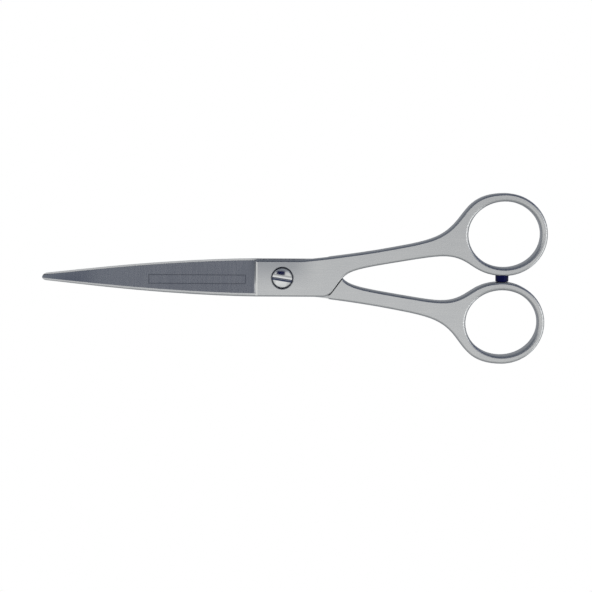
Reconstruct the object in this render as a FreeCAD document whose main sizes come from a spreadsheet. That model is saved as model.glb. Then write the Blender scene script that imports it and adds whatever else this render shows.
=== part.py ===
"""Hair cutting shears: two half-lapped forgings on a slotted pivot screw, with a ring bumper.

Frame: millimetres, +Z up towards the screw head, blades along -X, finger rings along +X.
The origin is on the pivot axis at the resting face, and the thumb ring is on the +Y side.
Each half is drawn with its inner face on its own XY plane and its outer face upwards.
The thumb half stands like that, and the finger half is the same form turned over about X.
"""
import FreeCAD, Part
import math
import os

import Sketcher

V = FreeCAD.Vector

# Driving dimensions, in millimetres and degrees, one row of the sheet each.
SIZES = {
    "stock": 5.2,            # full thickness of arms and rings
    "lap_gap": 0.08,         # space between the two inner faces
    "joint_half": 6.6,       # half width of the joint plate
    "plate_inset": 0.2,      # how far the plate sits inside the other half's back edge
    "heel_back": 9.2,        # pivot to the heel of the blade
    "heel_ramp": 0.7,        # length of the ground ramp at the heel
    "blade_reach": 84.6,     # pivot to the tip
    "tip_half": 1.0,         # half width of the blade at the tip
    "tip_spare": 1.2,        # blade stock past the tip, which its rounding takes off
    "edge_inset": 0.6,       # cutting edge inside the other half's back edge
    "back_strip": 1.2,       # flat left along the back of the blade
    "edge_thick": 0.3,       # thickness left at the cutting edge
    "tip_thick": 1.2,        # thickness of the back at the tip
    "hollow_depth": 0.15,    # hollow grind of the inner face
    "edge_land": 0.7,        # flat beside the hollow
    "corner_x": 16.3,        # outer corner of the joint plate before it is rounded
    "corner_radius": 4.2,    # rounding of that corner
    "crotch_x": 21.15,       # where the two arms part
    "shoulder_gap": 0.16,    # space at the lap shoulder
    "ring_x": 78.0,          # pivot to the thumb ring's centre
    "ring_y": 15.6,          # axis to a ring's centre
    "finger_back": 0.5,      # finger ring's centre nearer the pivot
    "hole_long": 25.6,       # finger hole along the shears
    "hole_wide": 23.2,       # finger hole across the shears
    "ring_wall": 2.9,        # ring wall in plan above and below the hole
    "ring_side": 2.2,        # ring wall in plan at the shears' end
    "outer_round": 0.75,     # rounding of the outer edges
    "hole_round": 1.05,      # rounding of the finger holes
    "head_dia": 6.9,         # screw head
    "head_proud": 0.05,      # rim of the head above the plate
    "head_dome": 0.34,       # crown of the head
    "head_bevel": 0.3,       # bevel round the head
    "head_clear": 0.25,      # radial space round the head
    "sink_depth": 1.3,       # counterbore for the head
    "sink_chamfer": 0.4,     # chamfer of the counterbore
    "slot_wide": 2.2,        # coin slot across
    "slot_deep": 0.75,       # coin slot depth below the head's rim
    "slot_turn": -9.0,       # rest direction of the slot
    "shank_dia": 4.0,        # plain shank through the thumb half
    "thread_dia": 3.5,       # thread in the finger half
    "tail_recess": 0.2,      # screw end inside the back face
    "run_clear": 0.04,       # radial running clearance
    "bush_wall": 0.5,        # wall of the pivot bush
    "spring_thick": 0.22,    # spring washer under the head
    "spring_dia": 6.5,       # spring washer outside
    "glide_dia": 9.4,        # glide washer outside
    "glide_thick": 0.4,      # glide washer
    "face_clear": 0.02,      # space between faces that slide
    "bumper_dia": 4.6,       # bumper across
    "bumper_x": 77.5,        # pivot to the bumper
    "bumper_seat": 0.3,      # spot face in the thumb ring
    "bumper_clear": 0.06,    # space left to the finger ring
    "bumper_round": 0.35,    # rounding of the bumper's free end
    "stud_dia": 1.8,         # threaded stud of the bumper
    "stud_reach": 1.1,       # stud beyond the spot face
    "flange_dia": 2.9,       # stud flange inside the bumper
    "flange_thick": 0.8,     # stud flange
    "flange_depth": 1.2,     # rubber between the seat and the flange
}

BLADE_BOW = 1.68             # exponent of the back's curve from heel to tip
BLADE_STATIONS = 6           # sections from heel to tip
STRIP_AT_POINT = 0.55        # back strip of a blade with no width, of its full width
HOLLOW_AT_HEEL = 0.15        # hollow grind at the heel, of its full depth
HOLLOW_RISE = 2.5            # growth of the hollow grind along the blade
PLATE_JOIN = 0.27            # where the arm leaves the plate's straight side, of the crotch's place
PLATE_EASE = 0.16            # length over which it eases away, of the crotch's place
STRAIGHT_SHARE = 0.75        # straight part of the plate's end, from its corner to the crotch
SLOT_SAG = 0.4               # hollow of the slot's floor, of the slot's depth
CROTCH_LEAVE = 0.2           # how far past the crotch the inner edge keeps that direction
SHOULDER_LEAVE = 60.0        # degrees round the other half's corner where the shoulder runs out

# Control points of the arm's edges. The first number is the share of the way from the crotch to
# the ring's centre. The second is the share of the ring centre's offset on the inner edge, and of
# the rise from the plate's side to the ring's far side on the outer edge.
ARM_INNER = [(0.032, 0.181), (0.320, 0.356), (0.528, 0.486), (0.658, 0.531), (0.771, 0.407)]
ARM_OUTER = [(0.726, 0.603), (0.601, 0.311), (0.330, 0.191), (0.157, 0.109)]
RING_EASE_IN = 0.121         # length over which the inner edge eases into the ring
RING_EASE_OUT = 0.174        # length over which the outer edge leaves it

doc = FreeCAD.newDocument("hair_cutting_shears")
sheet = doc.addObject("Spreadsheet::Sheet", "Sizes")
for row, (alias, value) in enumerate(SIZES.items(), start=1):
    sheet.set("A%d" % row, alias)
    sheet.set("B%d" % row, str(value))
    sheet.setAlias("B%d" % row, alias)
doc.recompute()


def size(name):
    """Value of one cell of the sheet."""
    return float(getattr(sheet, name))


def plate_thick():
    return (size("stock") - size("lap_gap")) / 2


PLATE = "(Sizes.stock - Sizes.lap_gap) / 2"
LOWER = "(Sizes.stock + Sizes.lap_gap) / 2"


def new_body(label):
    body = doc.addObject("PartDesign::Body", label)
    body.Label = label
    return body


def origin_plane(body, role):
    return next(f for f in body.Origin.OriginFeatures if f.Role == role)


def new_sketch(body, name, role="XY_Plane", offset=None):
    """Sketch on one of the body's origin planes, moved along its normal by an expression."""
    sketch = body.newObject("Sketcher::SketchObject", name)
    sketch.AttachmentSupport = [(origin_plane(body, role), "")]
    sketch.MapMode = "FlatFace"
    if offset:
        sketch.setExpression("AttachmentOffset.Base.z", offset)
    return sketch


def draw(sketch, curves):
    """Closed chain of curves whose ends meet."""
    for curve in curves:
        sketch.addGeometry(curve, False)


def chain(points):
    """Straight closed outline through the points."""
    return [Part.LineSegment(a, b) for a, b in zip(points, points[1:] + points[:1])]


def smooth(points):
    """Smooth curve that starts and ends at its first and last control point."""
    curve = Part.BSplineCurve()
    inner_knots = len(points) - 4
    knots = [k / (inner_knots + 1) for k in range(inner_knots + 2)]
    curve.buildFromPolesMultsKnots(points, [4] + [1] * inner_knots + [4], knots, False, 3)
    return curve


def pad(body, sketch, name, length):
    feature = body.newObject("PartDesign::Pad", name)
    feature.Profile = sketch
    feature.setExpression("Length", length)
    return feature


def pocket(body, sketch, name, length, reverse=False):
    feature = body.newObject("PartDesign::Pocket", name)
    feature.Profile = sketch
    feature.Reversed = reverse
    feature.setExpression("Length", length)
    return feature


def turned(body, kind, name, role, profile, offset=None, axis=None):
    """Revolution or Groove of a closed profile about the sketch's vertical axis or a drawn one."""
    sketch = new_sketch(body, name + "Profile", role, offset)
    draw(sketch, profile)
    feature = body.newObject("PartDesign::" + kind, name)
    feature.Profile = sketch
    if axis is None:
        feature.ReferenceAxis = (sketch, ["V_Axis"])
    else:
        sketch.addGeometry(Part.LineSegment(*axis), True)
        feature.ReferenceAxis = (sketch, ["Axis0"])
    feature.Angle = 360.0
    return feature


def must_cut(body, before, name):
    """A cut that removes nothing is a mistake in its direction."""
    doc.recompute()
    if body.Shape.Volume >= before - 1e-6:
        raise ValueError(name + " removes nothing")


# ---------------------------------------------------------------- the two halves

def back_half_width(x):
    """Half width of the blade's back edge from the pivot axis at a place along the blade."""
    span = size("blade_reach") - size("heel_back")
    along = min(max((-x - size("heel_back")) / span, 0.0), 1.0)
    taper = size("joint_half") - size("tip_half")
    return size("joint_half") - taper * along ** BLADE_BOW


def plate_corner():
    """The plate's rounded corner: its centre, where it meets the end, the crotch and the way up."""
    half = size("joint_half")
    radius = size("corner_radius")
    high = V(size("crotch_x"), 0, 0)
    along = (high - V(size("corner_x"), -half, 0)).normalize()
    outward = V(along.y, -along.x, 0)
    centre_y = radius - half
    centre = V(high.x - (radius + outward.y * centre_y) / outward.x, centre_y, 0)
    return centre, centre + outward * radius, high, along


def handle_outline(ring_x):
    """Plan of plate, arm and ring, anticlockwise from the heel's back corner."""
    half = size("joint_half")
    upper = half - size("plate_inset")
    heel_low = V(-size("heel_back"), -half, 0)
    heel_top = V(-size("heel_back"), upper, 0)
    ring_y = size("ring_y")
    long_half = size("hole_long") / 2 + size("ring_side")
    wide_half = size("hole_wide") / 2 + size("ring_wall")
    crotch = size("crotch_x")
    reach = ring_x - crotch
    centre, corner_end, high, along = plate_corner()
    corner = Part.ArcOfCircle(Part.Circle(centre, V(0, 0, 1), size("corner_radius")),
                              -math.pi / 2, math.atan2(-along.x, along.y))
    straight_end = corner_end + (high - corner_end) * STRAIGHT_SHARE

    ring_low = V(ring_x, ring_y - wide_half, 0)
    inner = [straight_end, high + along * (high - straight_end).Length * CROTCH_LEAVE]
    inner += [V(crotch + f * reach, g * ring_y, 0) for f, g in ARM_INNER]
    inner += [ring_low - V(RING_EASE_IN * reach, 0, 0), ring_low]

    ring = Part.Ellipse(V(ring_x, ring_y, 0), long_half, wide_half)
    ring_arc = Part.ArcOfEllipse(ring, -math.pi / 2, math.pi / 2)

    ring_top = V(ring_x, ring_y + wide_half, 0)
    plate_joins = V(PLATE_JOIN * crotch, upper, 0)
    outer = [ring_top, ring_top - V(RING_EASE_OUT * reach, 0, 0)]
    outer += [V(crotch + f * reach, half + g * (ring_top.y - half), 0) for f, g in ARM_OUTER]
    outer += [plate_joins + V(PLATE_EASE * crotch, 0, 0), plate_joins]

    return [
        Part.LineSegment(heel_low, V(centre.x, -half, 0)),
        corner,
        Part.LineSegment(corner_end, straight_end),
        smooth(inner),
        ring_arc,
        smooth(outer),
        Part.LineSegment(plate_joins, heel_top),
        Part.LineSegment(heel_top, heel_low),
    ]


def shoulder_outline():
    """Plan of the lap: the other half's plate, grown by the shoulder gap, and all left of it."""
    half = size("joint_half")
    gap = size("shoulder_gap")
    centre, corner_end, high, along = plate_corner()
    centre = V(centre.x, -centre.y, 0)
    outward = V(along.y, along.x, 0)
    radius = size("corner_radius") + gap
    arc_start = centre + outward * radius
    leave = math.radians(SHOULDER_LEAVE)
    arc_top = centre + V(math.cos(leave), math.sin(leave), 0) * radius
    low_end = high + outward * gap + V(along.x, -along.y, 0) * half
    left = -size("heel_back") - half
    top = 2 * half
    return [
        Part.LineSegment(low_end, arc_start),
        Part.ArcOfCircle(Part.Circle(centre, V(0, 0, 1), radius),
                         math.atan2(outward.y, outward.x), leave),
        Part.LineSegment(arc_top, V(arc_top.x, top, 0)),
        Part.LineSegment(V(arc_top.x, top, 0), V(left, top, 0)),
        Part.LineSegment(V(left, top, 0), V(left, -top, 0)),
        Part.LineSegment(V(left, -top, 0), V(low_end.x, -top, 0)),
        Part.LineSegment(V(low_end.x, -top, 0), low_end),
    ]


def blade_section(x, along, full=False):
    """Cross section of the blade: x is the station, along runs from 0 at the heel to 1."""
    half = back_half_width(x)
    back = plate_thick() + (size("tip_thick") - plate_thick()) * along
    edge = half - size("edge_inset")
    broad = half / size("joint_half")
    turn = min(size("outer_round"), 0.3 * back)
    strip = max(size("back_strip") * (STRIP_AT_POINT + (1 - STRIP_AT_POINT) * broad), 1.2 * turn)
    land = min(size("edge_land"), 0.25 * (edge + half))
    hollow = size("hollow_depth") * min(HOLLOW_AT_HEEL + HOLLOW_RISE * along, 1.0)
    lip = back if full else size("edge_thick")
    mid = V((edge - half) / 2, hollow, 0)
    knee = V(-half + turn * (1 - math.sqrt(0.5)), back - turn * (1 - math.sqrt(0.5)), 0)
    return [
        Part.LineSegment(V(-half, 0, 0), V(-half, back - turn, 0)),
        Part.Arc(V(-half, back - turn, 0), knee, V(-half + turn, back, 0)),
        Part.LineSegment(V(-half + turn, back, 0), V(-half + strip, back, 0)),
        Part.LineSegment(V(-half + strip, back, 0), V(edge, lip, 0)),
        Part.LineSegment(V(edge, lip, 0), V(edge, 0, 0)),
        Part.LineSegment(V(edge, 0, 0), V(edge - land, 0, 0)),
        Part.Arc(V(edge - land, 0, 0), mid, V(-half + land, 0, 0)),
        Part.LineSegment(V(-half + land, 0, 0), V(-half, 0, 0)),
    ]


def tip_outline():
    """Plan of what the rounded tip leaves off: left of an arc as wide as the blade there."""
    radius = size("tip_half")
    for _ in range(4):
        radius = back_half_width(radius - size("blade_reach"))
    centre = V(radius - size("blade_reach"), 0, 0)
    left = centre.x - 3 * radius
    tall = 3 * radius
    top = centre + V(0, radius, 0)
    low = centre - V(0, radius, 0)
    corners = [top, V(centre.x, tall, 0), V(left, tall, 0), V(left, -tall, 0),
               V(centre.x, -tall, 0), low]
    sides = [Part.LineSegment(p, q) for p, q in zip(corners, corners[1:])]
    return sides + [Part.Arc(low, centre - V(radius, 0, 0), top)]


def outline_edges(shape, hole):
    """Names of the plan's edges on the two flat faces: the finger hole's, or all the others."""
    levels = (plate_thick(), plate_thick() - size("stock"))
    heel = -size("heel_back")
    names = []
    for index, edge in enumerate(shape.Edges, start=1):
        box = edge.BoundBox
        flat = box.ZLength < 1e-4 and min(abs(box.ZMin - z) for z in levels) < 1e-4
        on_heel = box.XLength < 1e-4 and abs(box.XMin - heel) < 1e-4
        if flat and not on_heel and edge.isClosed() == hole:
            names.append("Edge%d" % index)
    return names


def rounded(body, base, name, hole, radius):
    doc.recompute()
    feature = body.newObject("PartDesign::Fillet", name)
    feature.Base = (base, outline_edges(base.Shape, hole))
    feature.setExpression("Radius", radius)
    doc.recompute()
    return feature


def make_half(label, ring_x):
    """One forging: handle with its lap, then the blade."""
    body = new_body(label)
    handle = new_sketch(body, "HandlePlan", offset="-" + LOWER)
    draw(handle, handle_outline(ring_x))
    hole = Part.Ellipse(V(ring_x, size("ring_y"), 0), size("hole_long") / 2, size("hole_wide") / 2)
    handle.addGeometry(hole, False)
    stock = pad(body, handle, "HandleStock", "Sizes.stock")
    outer = rounded(body, stock, "OuterRound", False, "Sizes.outer_round")
    rounded(body, outer, "HoleRound", True, "Sizes.hole_round")

    lap = new_sketch(body, "LapPlan")
    draw(lap, shoulder_outline())
    before = body.Shape.Volume
    pocket(body, lap, "Lap", "Sizes.stock")
    must_cut(body, before, "the lap")

    heel = new_sketch(body, "HeelSection", "YZ_Plane", "-Sizes.heel_back")
    draw(heel, blade_section(-size("heel_back"), 0, full=True))
    start = size("heel_back") + size("heel_ramp")
    run = size("blade_reach") + size("tip_spare") - start
    stations = []
    for k in range(BLADE_STATIONS):
        along = k / (BLADE_STATIONS - 1)
        place = "-(Sizes.heel_back + Sizes.heel_ramp) * %g" % (1 - along)
        place += " - (Sizes.blade_reach + Sizes.tip_spare) * %g" % along
        station = new_sketch(body, "BladeSection%d" % k, "YZ_Plane", place)
        draw(station, blade_section(-start - along * run, along))
        stations.append(station)
    ramp = body.newObject("PartDesign::AdditiveLoft", "HeelRamp")
    ramp.Profile = heel
    ramp.Sections = [stations[0]]
    ramp.Ruled = True
    doc.recompute()
    blade = body.newObject("PartDesign::AdditiveLoft", "Blade")
    blade.Profile = stations[0]
    blade.Sections = stations[1:]
    doc.recompute()

    tip = new_sketch(body, "TipPlan")
    draw(tip, tip_outline())
    before = body.Shape.Volume
    pocket(body, tip, "TipRound", "Sizes.stock", reverse=True)
    must_cut(body, before, "the tip")
    return body


def make_thumb_half():
    """Upper half: counterbore for the screw's head, bore for the bush, seat of the bumper."""
    body = make_half("thumb_half", size("ring_x"))
    plate = plate_thick()
    floor = plate - size("sink_depth")
    bore = size("shank_dia") / 2 + size("run_clear") + size("bush_wall")
    sink = size("head_dia") / 2 + size("head_clear")
    mouth = sink + size("sink_chamfer")
    over = size("stock")
    turned(body, "Groove", "PivotBore", "XZ_Plane", chain([
        V(0, -over, 0),
        V(bore, -over, 0),
        V(bore, floor, 0),
        V(sink, floor, 0),
        V(sink, plate - size("sink_chamfer"), 0),
        V(mouth, plate, 0),
        V(mouth, plate + over, 0),
        V(0, plate + over, 0),
    ]))
    centre = size("bumper_x")
    seat = bumper_seat_y()
    spot = size("bumper_dia") / 2 + size("head_clear")
    stud = size("stud_dia") / 2
    end = seat + size("stud_reach")
    below = seat - size("stock")
    turned(body, "Groove", "BumperSeat", "XY_Plane", chain([
        V(centre, below, 0),
        V(centre + spot, below, 0),
        V(centre + spot, seat, 0),
        V(centre + stud, seat, 0),
        V(centre + stud, end, 0),
        V(centre, end, 0),
    ]), "-Sizes.lap_gap / 2", (V(centre, below, 0), V(centre, end, 0)))
    body.setExpression("Placement.Base.z", LOWER)
    return body


def make_finger_half():
    """Lower half: recess for the glide washer and the tapped hole for the screw."""
    body = make_half("finger_half", size("ring_x") - size("finger_back"))
    plate = plate_thick()
    recess = size("glide_dia") / 2 + size("run_clear")
    floor = glide_recess()
    tapped = size("thread_dia") / 2 + size("run_clear")
    over = size("stock")
    turned(body, "Groove", "ScrewHole", "XZ_Plane", chain([
        V(0, -over, 0),
        V(recess, -over, 0),
        V(recess, floor, 0),
        V(tapped, floor, 0),
        V(tapped, plate - size("sink_chamfer"), 0),
        V(tapped + size("sink_chamfer"), plate, 0),
        V(tapped + size("sink_chamfer"), plate + over, 0),
        V(0, plate + over, 0),
    ]))
    body.Placement = FreeCAD.Placement(V(0, 0, plate), FreeCAD.Rotation(V(1, 0, 0), 180))
    body.setExpression("Placement.Base.z", PLATE)
    return body


# ---------------------------------------------------------------- the pivot

def glide_recess():
    """Depth of the glide washer's recess in the finger half's inner face."""
    return size("glide_thick") + size("face_clear") - size("lap_gap")


def make_pivot_screw():
    """Slotted shoulder screw: crowned head, plain shank and thread, drawn from under the head."""
    body = new_body("pivot_screw")
    under = size("stock") - size("sink_depth") + size("spring_thick") + 2 * size("face_clear")
    head = size("head_dia") / 2
    top = size("stock") + size("head_proud") - under
    rim = size("head_bevel")
    shank = size("shank_dia") / 2
    thread = size("thread_dia") / 2
    shoulder = plate_thick() - glide_recess() + size("face_clear") - under
    tail = size("tail_recess") - under
    lead = size("sink_chamfer")
    outline = [
        V(0, tail, 0),
        V(thread - lead, tail, 0),
        V(thread, tail + lead, 0),
        V(thread, shoulder, 0),
        V(shank, shoulder, 0),
        V(shank, 0, 0),
        V(head, 0, 0),
        V(head, top - rim, 0),
        V(head - rim, top, 0),
    ]
    crown = V(0, top + size("head_dome"), 0)
    side = (head - rim) / 2
    bow = V(side, top + 0.75 * size("head_dome"), 0)   # a shallow arc has 3/4 of its rise halfway
    curves = [Part.LineSegment(p, q) for p, q in zip(outline, outline[1:])]
    curves += [Part.Arc(outline[-1], bow, crown), Part.LineSegment(crown, outline[0])]
    turned(body, "Revolution", "ScrewTurned", "XZ_Plane", curves)
    doc.recompute()

    slot = new_sketch(body, "SlotSection", "YZ_Plane", "Sizes.head_dia")
    wide = size("slot_wide") / 2
    floor = top - size("slot_deep")
    sag = SLOT_SAG * size("slot_deep")
    draw(slot, [
        Part.Arc(V(-wide, floor + sag, 0), V(0, floor, 0), V(wide, floor + sag, 0)),
        Part.LineSegment(V(wide, floor + sag, 0), V(wide, 2 * top, 0)),
        Part.LineSegment(V(wide, 2 * top, 0), V(-wide, 2 * top, 0)),
        Part.LineSegment(V(-wide, 2 * top, 0), V(-wide, floor + sag, 0)),
    ])
    before = body.Shape.Volume
    pocket(body, slot, "CoinSlot", "2 * Sizes.head_dia")
    must_cut(body, before, "the coin slot")
    body.Placement = FreeCAD.Placement(V(0, 0, under),
                                       FreeCAD.Rotation(V(0, 0, 1), size("slot_turn")))
    body.setExpression("Placement.Base.z",
                       "Sizes.stock - Sizes.sink_depth + Sizes.spring_thick + 2 * Sizes.face_clear")
    return body


def make_ring(label, inner, outer, thick, level):
    """Flat ring on the pivot axis: radii in millimetres, thickness and level as expressions."""
    body = new_body(label)
    plan = new_sketch(body, label.title().replace("_", "") + "Plan")
    for name, radius in (("outer", outer), ("inner", inner)):
        index = plan.addGeometry(Part.Circle(V(0, 0, 0), V(0, 0, 1), radius), False)
        plan.addConstraint(Sketcher.Constraint("Coincident", index, 3, -1, 1))
        bound = plan.addConstraint(Sketcher.Constraint("Radius", index, radius))
        plan.renameConstraint(bound, name + "_radius")
    pad(body, plan, "RingStock", thick)
    body.setExpression("Placement.Base.z", level)
    return body, plan


def make_spring_washer():
    body, plan = make_ring("spring_washer", size("shank_dia") / 2 + size("run_clear"),
                           size("spring_dia") / 2, "Sizes.spring_thick",
                           "Sizes.stock - Sizes.sink_depth + Sizes.face_clear")
    plan.setExpression("Constraints.outer_radius", "Sizes.spring_dia / 2")
    plan.setExpression("Constraints.inner_radius", "Sizes.shank_dia / 2 + Sizes.run_clear")
    return body


def make_pivot_bush():
    inner = size("shank_dia") / 2 + size("run_clear")
    body, plan = make_ring("pivot_bush", inner, inner + size("bush_wall"),
                           PLATE + " - Sizes.sink_depth - Sizes.face_clear",
                           LOWER + " + Sizes.face_clear")
    plan.setExpression("Constraints.outer_radius",
                       "Sizes.shank_dia / 2 + Sizes.run_clear + Sizes.bush_wall")
    plan.setExpression("Constraints.inner_radius", "Sizes.shank_dia / 2 + Sizes.run_clear")
    return body


def make_glide_washer():
    body, plan = make_ring("glide_washer", size("shank_dia") / 2 + size("run_clear"),
                           size("glide_dia") / 2, "Sizes.glide_thick",
                           LOWER + " - Sizes.face_clear - Sizes.glide_thick")
    plan.setExpression("Constraints.outer_radius", "Sizes.glide_dia / 2")
    plan.setExpression("Constraints.inner_radius", "Sizes.shank_dia / 2 + Sizes.run_clear")
    return body


# ---------------------------------------------------------------- the bumper

def ring_near_side(ring_x):
    """Distance from the axis to a ring's near side, above the bumper's axis."""
    long_half = size("hole_long") / 2 + size("ring_side")
    wide_half = size("hole_wide") / 2 + size("ring_wall")
    offset = (size("bumper_x") - ring_x) / long_half
    return size("ring_y") - wide_half * math.sqrt(1 - offset ** 2)


def bumper_seat_y():
    return ring_near_side(size("ring_x")) + size("bumper_seat")


def lay_across(body):
    """Turn a piece drawn along its own Z to point at the finger ring from the bumper's seat."""
    middle = size("stock") / 2
    body.Placement = FreeCAD.Placement(V(size("bumper_x"), bumper_seat_y(), middle),
                                       FreeCAD.Rotation(V(1, 0, 0), 90))
    body.setExpression("Placement.Base.x", "Sizes.bumper_x")
    body.setExpression("Placement.Base.z", "Sizes.stock / 2")


def make_bumper():
    """Rubber stop moulded round its stud's flange, open at the seat."""
    body = new_body("bumper")
    reach = bumper_seat_y() + ring_near_side(size("ring_x") - size("finger_back"))
    reach -= size("bumper_clear")
    radius = size("bumper_dia") / 2
    turn = size("bumper_round")
    stud = size("stud_dia") / 2
    flange = size("flange_dia") / 2
    low = size("flange_depth")
    high = low + size("flange_thick")
    corners = [
        V(stud, 0, 0),
        V(radius, 0, 0),
        V(radius, reach - turn, 0),
        V(radius - turn, reach, 0),
        V(0, reach, 0),
        V(0, high, 0),
        V(flange, high, 0),
        V(flange, low, 0),
        V(stud, low, 0),
    ]
    knee = turn * (1 - math.sqrt(0.5))
    curves = chain(corners)
    curves[2] = Part.Arc(corners[2], V(radius - knee, reach - knee, 0), corners[3])
    turned(body, "Revolution", "BumperTurned", "XZ_Plane", curves)
    lay_across(body)
    return body


def make_bumper_stud():
    """Stud that screws into the thumb ring, with the flange that the rubber grips."""
    body = new_body("bumper_stud")
    stud = size("stud_dia") / 2
    flange = size("flange_dia") / 2
    low = size("flange_depth")
    turned(body, "Revolution", "StudTurned", "XZ_Plane", chain([
        V(0, -size("stud_reach"), 0),
        V(stud, -size("stud_reach"), 0),
        V(stud, low, 0),
        V(flange, low, 0),
        V(flange, low + size("flange_thick"), 0),
        V(0, low + size("flange_thick"), 0),
    ]))
    lay_across(body)
    return body


# ---------------------------------------------------------------- build and write

pieces = [
    make_finger_half(),
    make_thumb_half(),
    make_pivot_screw(),
    make_spring_washer(),
    make_pivot_bush(),
    make_glide_washer(),
    make_bumper(),
    make_bumper_stud(),
]
doc.recompute()

for item in doc.Objects:
    if "Invalid" in item.State or "Error" in item.State:
        raise ValueError("%s did not build: %s" % (item.Label, item.State))

os.makedirs("parts", exist_ok=True)
for piece in pieces:
    if piece.Shape.isNull() or not piece.Shape.isValid():
        raise ValueError(piece.Label + " has no sound shape")
    piece.Shape.exportStep(os.path.join("parts", piece.Label + ".step"))
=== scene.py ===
"""Finishes, floor, light and camera for the hair cutting shears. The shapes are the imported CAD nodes."""
import math

import bpy
from mathutils import Matrix, Vector

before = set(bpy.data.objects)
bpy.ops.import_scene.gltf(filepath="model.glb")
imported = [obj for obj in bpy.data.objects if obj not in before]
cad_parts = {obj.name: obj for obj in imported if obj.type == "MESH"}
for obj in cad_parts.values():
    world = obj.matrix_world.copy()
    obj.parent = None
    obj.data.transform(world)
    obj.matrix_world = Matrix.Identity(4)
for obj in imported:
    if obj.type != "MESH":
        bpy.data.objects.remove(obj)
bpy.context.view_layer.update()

MM = 0.001

# Heights and places on the closed pair, in metres. The screw's axis is at x = y = 0.
HEEL_LINE = -9.05 * MM
HEEL_HEIGHT = 5.0 * MM
FRONT_HEIGHT = 2.7 * MM
RECESS_RADIUS = 3.85 * MM
RECESS_FLOOR = 3.7 * MM
RECESS_TOP = 4.95 * MM

# The etched border's middle, half lengths and half line width, in metres
BORDER_MIDDLE = (-30.0 * MM, -0.6 * MM)
BORDER_HALF = (17.0 * MM, 1.5 * MM)
BORDER_LINE = 0.16 * MM

# A ring wave's Scale for one ring each metre
RINGS_PER_METRE = 0.314


# ---------------------------------------------------------------- small helpers

def hex_colour(code):
    """sRGB hex to the linear colour that shaders take."""
    parts = [int(code[k:k + 2], 16) / 255 for k in (1, 3, 5)]
    linear = [p / 12.92 if p <= 0.04045 else ((p + 0.055) / 1.055) ** 2.4 for p in parts]
    return (*linear, 1.0)


def put(tree, kind, inputs=(), output=0, stops=(), **settings):
    """Adds a node and gives back one of its outputs, or the node itself when output is None.

    inputs are values or sockets to link from, in order or by key. settings are the node's own
    properties. stops are a colour ramp's places and hex colours.
    """
    made = tree.nodes.new("ShaderNode" + kind)
    for name, value in settings.items():
        setattr(made, name, value)
    while stops and len(made.color_ramp.elements) < len(stops):
        made.color_ramp.elements.new(0.5)
    for k, (place, colour) in enumerate(stops):
        made.color_ramp.elements[k].position = place
        made.color_ramp.elements[k].color = hex_colour(colour)
    for key, value in (inputs if isinstance(inputs, dict) else dict(enumerate(inputs))).items():
        if isinstance(value, bpy.types.NodeSocket):
            tree.links.new(value, made.inputs[key])
        else:
            made.inputs[key].default_value = value
    return made if output is None else made.outputs[output]


def empty_tree(owner):
    """A material's or world's node tree, with nothing in it."""
    owner.use_nodes = True
    owner.node_tree.nodes.clear()
    return owner.node_tree


def new_material(name):
    """Material with a Principled shader on its output."""
    made = bpy.data.materials.new(name)
    tree = empty_tree(made)
    shader = put(tree, "BsdfPrincipled", output=None)
    put(tree, "OutputMaterial", {"Surface": shader.outputs[0]}, None)
    return made, tree, shader


def dress(tree, shader, colour, rough, height, strength, distance, **constants):
    """Gives the shader its colour, roughness and fine relief, then its constant inputs."""
    bump = put(tree, "Bump", {"Height": height, "Strength": strength, "Distance": distance})
    tree.links.new(colour, shader.inputs["Base Color"])
    tree.links.new(rough, shader.inputs["Roughness"])
    tree.links.new(bump, shader.inputs["Normal"])
    for name, value in constants.items():
        shader.inputs[name.replace("_", " ")].default_value = value


def paint(tree, colour, layers):
    """Lays colours over one another. Each layer is a mask, how strong it is, and its colour."""
    for mask, strength, over in layers:
        cover = put(tree, "Math", (mask, strength), operation="MULTIPLY")
        colour = put(tree, "Mix", {0: cover, 6: colour, 7: over}, 2, data_type="RGBA")
    return colour


def all_of(tree, *masks):
    """Mask that holds where every one of the masks does."""
    both = masks[0]
    for mask in masks[1:]:
        both = put(tree, "Math", (both, mask), operation="MULTIPLY")
    return both


def band(tree, value, *edges):
    """Mask between smooth edges, each given as where it is 0 and where it is 1."""
    return all_of(tree, *[put(tree, "MapRange", (value, low, high), interpolation_type="SMOOTHSTEP")
                          for low, high in edges])


def apart(tree, value, middle):
    """How far a value is from the middle, on either side."""
    moved = put(tree, "Math", (value, middle), operation="SUBTRACT")
    return put(tree, "Math", (moved,), operation="ABSOLUTE")


def grain(tree, place, stretch, detail=4.0, rough=0.6):
    """Noise drawn out along an axis: stretch is its length along x, y and z in millimetres."""
    mapped = put(tree, "Mapping", {"Vector": place, "Scale": [1.0 / (s * MM) for s in stretch]})
    return put(tree, "TexNoise", {"Vector": mapped, "Scale": 1.0, "Detail": detail,
                                  "Roughness": rough}, "Fac")


def edge_rub(tree, radius, gain):
    """Mask that rises near an edge, where handling rubs the metal bright."""
    soft = put(tree, "Bevel", {"Radius": radius * MM}, samples=6)
    flat = put(tree, "NewGeometry", output="Normal")
    same = put(tree, "VectorMath", (soft, flat), "Value", operation="DOT_PRODUCT")
    away = put(tree, "Math", (1.0, same), operation="SUBTRACT")
    return band(tree, away, (0.0, 1.0 / gain))


def camera_or_steel(tree, seen, reflected):
    """One shader for the camera's own rays and another for all the rest."""
    camera_ray = put(tree, "LightPath", output="Is Camera Ray")
    return put(tree, "MixShader", (camera_ray, reflected, seen))


# ---------------------------------------------------------------- finishes

def plate_darker_patch(tree, x, y):
    """Mask of a darker patch painted on the joint plate, between the heel and the screw."""
    return all_of(tree, band(tree, x, (-13.0 * MM, -8.0 * MM), (14.0 * MM, 2.0 * MM)),
                  band(tree, y, (-4.0 * MM, 6.0 * MM)))


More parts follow.
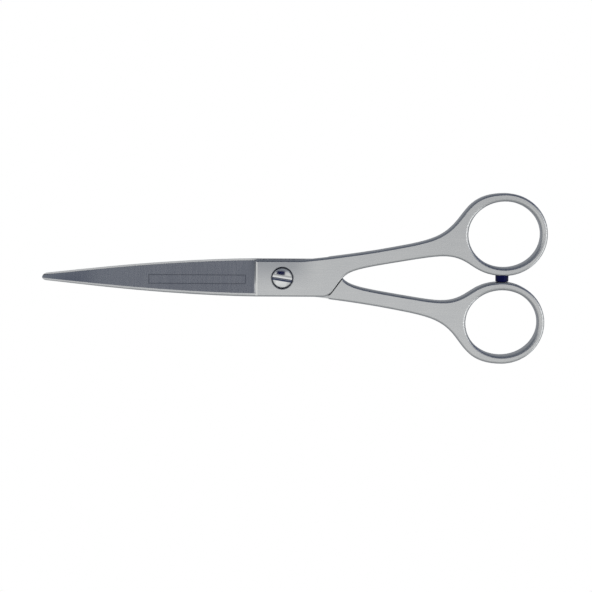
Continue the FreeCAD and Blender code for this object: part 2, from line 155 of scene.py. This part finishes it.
def painted_heel_highlight(tree, x, z):
    """Mask of a painted highlight: a light line along the plate's edge above the heel, in place of the heel
    ramp's reflection.
    """
    return all_of(tree, band(tree, apart(tree, x, HEEL_LINE), (0.42 * MM, 0.3 * MM)),
                  put(tree, "Math", (z, HEEL_HEIGHT), operation="GREATER_THAN"))


def screw_recess_painted_shade(tree, place, z):
    """Mask of the wall and floor of the screw's counterbore, painted dark navy as painted shade round the
    screw's head.
    """
    flat = put(tree, "VectorMath", (place, (1.0, 1.0, 0.0)), operation="MULTIPLY")
    away = put(tree, "VectorMath", (flat,), "Value", operation="LENGTH")
    return all_of(tree, put(tree, "Math", (away, RECESS_RADIUS), operation="LESS_THAN"),
                  put(tree, "Math", (z, RECESS_TOP), operation="LESS_THAN"),
                  put(tree, "Math", (z, RECESS_FLOOR), operation="GREATER_THAN"))


def etched_border(tree, x, y, z, ground):
    """Mask of a plain etched border on the front blade's ground face: two rules and their ends."""
    within, on_line = [], []
    for value, middle, half in zip((x, y), BORDER_MIDDLE, BORDER_HALF):
        away = apart(tree, value, middle)
        within.append(put(tree, "Math", (away, half + BORDER_LINE), operation="LESS_THAN"))
        on_line.append(put(tree, "Math", (apart(tree, away, half), BORDER_LINE),
                           operation="LESS_THAN"))
    rules = all_of(tree, on_line[1], within[0])
    ends = all_of(tree, on_line[0], within[1])
    return all_of(tree, put(tree, "Math", (rules, ends), operation="MAXIMUM"), ground,
                  put(tree, "Math", (z, FRONT_HEIGHT), operation="GREATER_THAN"))


def satin_ground_steel():
    """Cutlery steel, hardened and fine-ground, then satin brushed along the shears.

    The eye sees a soft grey sheen with faint long grain. The blade's outer face is ground across on a
    wheel, so it has fine cross lines, and its tilt catches a darker part of the room. Edges that hands
    rub are a little brighter. Real grain is finer than this: it is drawn coarse enough to show.
    """
    made, tree, shader = new_material("satin_ground_steel")
    coords = put(tree, "TexCoord", output=None).outputs
    place = coords["Object"]
    x, y, z = put(tree, "SeparateXYZ", (place,), None).outputs
    lean = put(tree, "SeparateXYZ", (coords["Normal"],), None).outputs
    slope = put(tree, "Math", (lean[1], lean[2]), operation="MULTIPLY")
    ground = all_of(tree, band(tree, slope, (0.06, 0.1)), band(tree, x, (-9.0 * MM, -9.5 * MM)))

    long_grain = grain(tree, place, (14.0, 0.35, 0.35))
    cross_grain = grain(tree, place, (0.3, 9.0, 9.0))
    cloud = grain(tree, place, (9.0, 6.0, 6.0), 3.0)
    speck = grain(tree, place, (0.25, 0.25, 0.25), 2.0)
    lines = put(tree, "Mix", {0: ground, 2: long_grain, 3: cross_grain}, data_type="FLOAT")
    rub = edge_rub(tree, 0.25, 3.0)

    brushed = put(tree, "ValToRGB", (long_grain,), stops=[(0.3, "#c6c8c9"), (0.7, "#d2d3d3")])
    wheeled = put(tree, "ValToRGB", (cross_grain,), stops=[(0.25, "#c2c4c8"), (0.75, "#d2d3d5")])
    body = paint(tree, brushed, [
        (cloud, 0.35, hex_colour("#c0c3c7")),
        (ground, 1.0, wheeled),
        # a darker patch painted on the joint plate, between the heel and the screw
        (plate_darker_patch(tree, x, y), 0.55, hex_colour("#888c94")),
        # painted highlight: a light line along the heel's edge, standing in for its reflection
        (painted_heel_highlight(tree, x, z), 0.5, hex_colour("#f6f6f4")),
        # painted shade: the screw's counterbore painted dark navy where shade falls round the head
        (screw_recess_painted_shade(tree, place, z), 1.0, hex_colour("#171c38")),
        (etched_border(tree, x, y, z, ground), 0.55, hex_colour("#5e646e")),
        (rub, 0.35, hex_colour("#e2e3e3")),
    ])
    rough = put(tree, "Math", (lines, 0.08, 0.2), operation="MULTIPLY_ADD")
    rough = put(tree, "Math", (cloud, 0.05, rough), operation="MULTIPLY_ADD")
    rough = put(tree, "Math", (rub, -0.06, rough), operation="MULTIPLY_ADD")
    height = put(tree, "Math", (speck, 0.3, lines), operation="MULTIPLY_ADD")
    dress(tree, shader, body, rough, height, 0.05, 0.02 * MM, Metallic=1.0)
    return made


def polished_screw_steel():
    """Stainless screw stock, turned and mirror polished.

    The eye sees near-mirror reflections, broken by faint turning rings and a few fine driver marks.
    """
    made, tree, shader = new_material("polished_screw_steel")
    place = put(tree, "TexCoord", output="Object")
    rings = put(tree, "TexWave",
                {"Vector": place, "Scale": RINGS_PER_METRE / (0.16 * MM), "Distortion": 0.4}, "Fac",
                wave_type="RINGS", rings_direction="Z", wave_profile="SIN")
    marks = grain(tree, place, (2.4, 0.12, 1.0), 3.0, 0.7)
    tint = put(tree, "ValToRGB", (marks,), stops=[(0.3, "#d3d5d6"), (0.7, "#e4e5e4")])
    rough = put(tree, "Math", (marks, 0.1, 0.06), operation="MULTIPLY_ADD")
    height = put(tree, "Math", (marks, 0.5, rings), operation="MULTIPLY_ADD")
    dress(tree, shader, tint, rough, height, 0.04, 0.01 * MM, Metallic=1.0)
    return made


def blued_spring_steel():
    """Spring steel strip with a tempered finish: the eye sees a straw to blue bloom and rolled grain."""
    made, tree, shader = new_material("blued_spring_steel")
    place = put(tree, "TexCoord", output="Object")
    bloom = grain(tree, place, (3.0, 3.0, 3.0), 2.0)
    rolled = grain(tree, place, (4.0, 0.15, 0.15))
    tint = put(tree, "ValToRGB", (bloom,), stops=[(0.35, "#8d8a84"), (0.65, "#6f7890")])
    rough = put(tree, "Math", (rolled, 0.2, 0.22), operation="MULTIPLY_ADD")
    dress(tree, shader, tint, rough, rolled, 0.08, 0.01 * MM, Metallic=1.0)
    return made


def natural_nylon():
    """Turned natural nylon: the eye sees a milky off-white with fine turning marks and a soft gloss."""
    made, tree, shader = new_material("natural_nylon")
    place = put(tree, "TexCoord", output="Object")
    milk = grain(tree, place, (1.5, 1.5, 1.5), 3.0)
    turned = put(tree, "TexWave",
                 {"Vector": place, "Scale": RINGS_PER_METRE / (0.12 * MM), "Distortion": 0.6}, "Fac",
                 wave_type="RINGS", rings_direction="Z")
    tint = put(tree, "ValToRGB", (milk,), stops=[(0.3, "#dcd8cb"), (0.7, "#e8e5da")])
    rough = put(tree, "Math", (turned, 0.12, 0.4), operation="MULTIPLY_ADD")
    dress(tree, shader, tint, rough, turned, 0.08, 0.01 * MM,
          IOR=1.53, Subsurface_Weight=0.1, Subsurface_Scale=0.4 * MM)
    return made


def navy_moulded_rubber():
    """Moulded hard rubber, very dark navy: the eye sees a soft gloss streak with slight handling dulling."""
    made, tree, shader = new_material("navy_moulded_rubber")
    place = put(tree, "TexCoord", output="Object")
    pores = grain(tree, place, (0.18, 0.18, 0.18), 3.0)
    dull = grain(tree, place, (1.4, 1.4, 1.4), 3.0)
    tint = put(tree, "ValToRGB", (dull,), stops=[(0.3, "#01022e"), (0.7, "#04073c")])
    rough = put(tree, "Math", (dull, 0.16, 0.22), operation="MULTIPLY_ADD")
    dress(tree, shader, tint, rough, pores, 0.12, 0.02 * MM,
          IOR=1.47, Specular_Tint=hex_colour("#6f78d8"))
    return made


FINISHES = {
    satin_ground_steel: ("finger_half", "thumb_half"),
    polished_screw_steel: ("pivot_screw", "bumper_stud"),
    blued_spring_steel: ("spring_washer",),
    natural_nylon: ("pivot_bush", "glide_washer"),
    navy_moulded_rubber: ("bumper",),
}
for finish, nodes in FINISHES.items():
    surface = finish()
    for node in nodes:
        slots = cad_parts[node].data.materials
        slots.clear()
        slots.append(surface)


# ---------------------------------------------------------------- floor, light and camera

def pale_floor():
    """Pale board, lit from below like a light table. The eye sees it white and the steel sees it grey."""
    bpy.ops.mesh.primitive_plane_add(size=6.0, location=(0, 0, -0.2 * MM))
    floor = bpy.context.object
    floor.name = "floor"
    made = bpy.data.materials.new("pale_board")
    tree = empty_tree(made)
    grey, white = [put(tree, "Emission", {"Color": hex_colour(code), "Strength": 1.0})
                   for code in ("#9b9ea4", "#ffffff")]
    put(tree, "OutputMaterial", {"Surface": camera_or_steel(tree, white, grey)}, None)
    floor.data.materials.append(made)


def dark_panel(tree, way, middle, reach):
    """Mask of a soft-edged panel in the sky near overhead. Middle and reach are along x and y."""
    powers = []
    for k in (0, 1):
        away = put(tree, "Math", (apart(tree, way[k], middle[k]), reach[k]), operation="DIVIDE")
        powers.append(put(tree, "Math", (away, 4.0), operation="POWER"))
    within = put(tree, "Math", powers, operation="ADD")
    return all_of(tree, band(tree, within, (1.0, 0.5)), band(tree, way[2], (0.0, 0.3)))


def studio_sky():
    """What the steel reflects: a room whose tone goes by direction, from the near side to the far side.

    It is pale overhead and grey beyond, with a narrow dark blue band on the far side, a dark panel near
    overhead and a bright strip past the rings. The camera sees plain white instead.
    """
    world = bpy.data.worlds.new("studio")
    bpy.context.scene.world = world
    tree = empty_tree(world)
    way = put(tree, "SeparateXYZ", (put(tree, "TexCoord", output="Generated"),), None).outputs
    along = put(tree, "Math", (way[1], 0.5, 0.5), operation="MULTIPLY_ADD")
    room = put(tree, "ValToRGB", (along,), stops=[
        (0.0, "#a4a6a8"),
        (0.2, "#c4c5c5"),
        (0.36, "#e2e2e1"),
        (0.58, "#e2e2e2"),
        (0.62, "#9a9ea5"),
        (0.71, "#7f858e"),
        (0.76, "#131e4a"),
        (0.81, "#1b2650"),
        (0.87, "#6a7180"),
        (1.0, "#8c9199"),
    ])
    far_left = all_of(tree, band(tree, way[0], (-0.07, -0.17)), band(tree, way[1], (0.4, 0.6)))
    panel = dark_panel(tree, way, (-0.08, 0.145), (0.22, 0.12))
    room = paint(tree, room, [(far_left, 1.0, hex_colour("#7c828c")),
                              (panel, 1.0, hex_colour("#0a1140"))])
    strip = band(tree, way[0], (0.62, 0.68), (0.8, 0.74))
    strength = put(tree, "Math", (strip, 2.0, 1.0), operation="MULTIPLY_ADD")
    lit = put(tree, "Background", {"Color": room, "Strength": strength})
    white = put(tree, "Background", {"Color": hex_colour("#ffffff")})
    put(tree, "OutputWorld", {"Surface": camera_or_steel(tree, white, lit)}, None)


def soft_light(name, place, aim, across, power):
    """Square area light. Lengths are in metres and power is in watts."""
    data = bpy.data.lights.new(name, "AREA")
    data.size = across
    data.energy = power
    lamp = bpy.data.objects.new(name, data)
    bpy.context.collection.objects.link(lamp)
    away = Vector(place) - Vector(aim)
    lamp.matrix_world = Matrix.Translation(place) @ away.to_track_quat("Z", "Y").to_matrix().to_4x4()


def main_camera(lean, roll, target, away, lens):
    """Looks down on the shears, leaning towards the thumb ring's side.

    Lean and roll are in degrees. The target, the distance away and the lens are in millimetres.
    """
    lean, roll = math.radians(lean), math.radians(roll)
    back = Vector((0, math.sin(lean), math.cos(lean)))
    right = Vector((1, 0, 0))
    level = right * math.cos(roll) + back.cross(right) * math.sin(roll)
    data = bpy.data.cameras.new("camera")
    data.sensor_width = 36.0
    data.lens = lens
    data.clip_start = 0.01
    data.clip_end = 20.0
    camera = bpy.data.objects.new("camera", data)
    bpy.context.collection.objects.link(camera)
    turn = Matrix((level, back.cross(level), back)).transposed().to_4x4()
    camera.matrix_world = Matrix.Translation((Vector(target) + back * away) * MM) @ turn
    bpy.context.scene.camera = camera


pale_floor()
studio_sky()
soft_light("overhead", (-0.05, -0.25, 0.9), (0, 0, 0), 0.5, 0.15)
main_camera(lean=6.0, roll=0.29, target=(4.86, -6.55, 2.6), away=459.6, lens=79.05)
bpy.context.scene.view_settings.view_transform = "Standard"
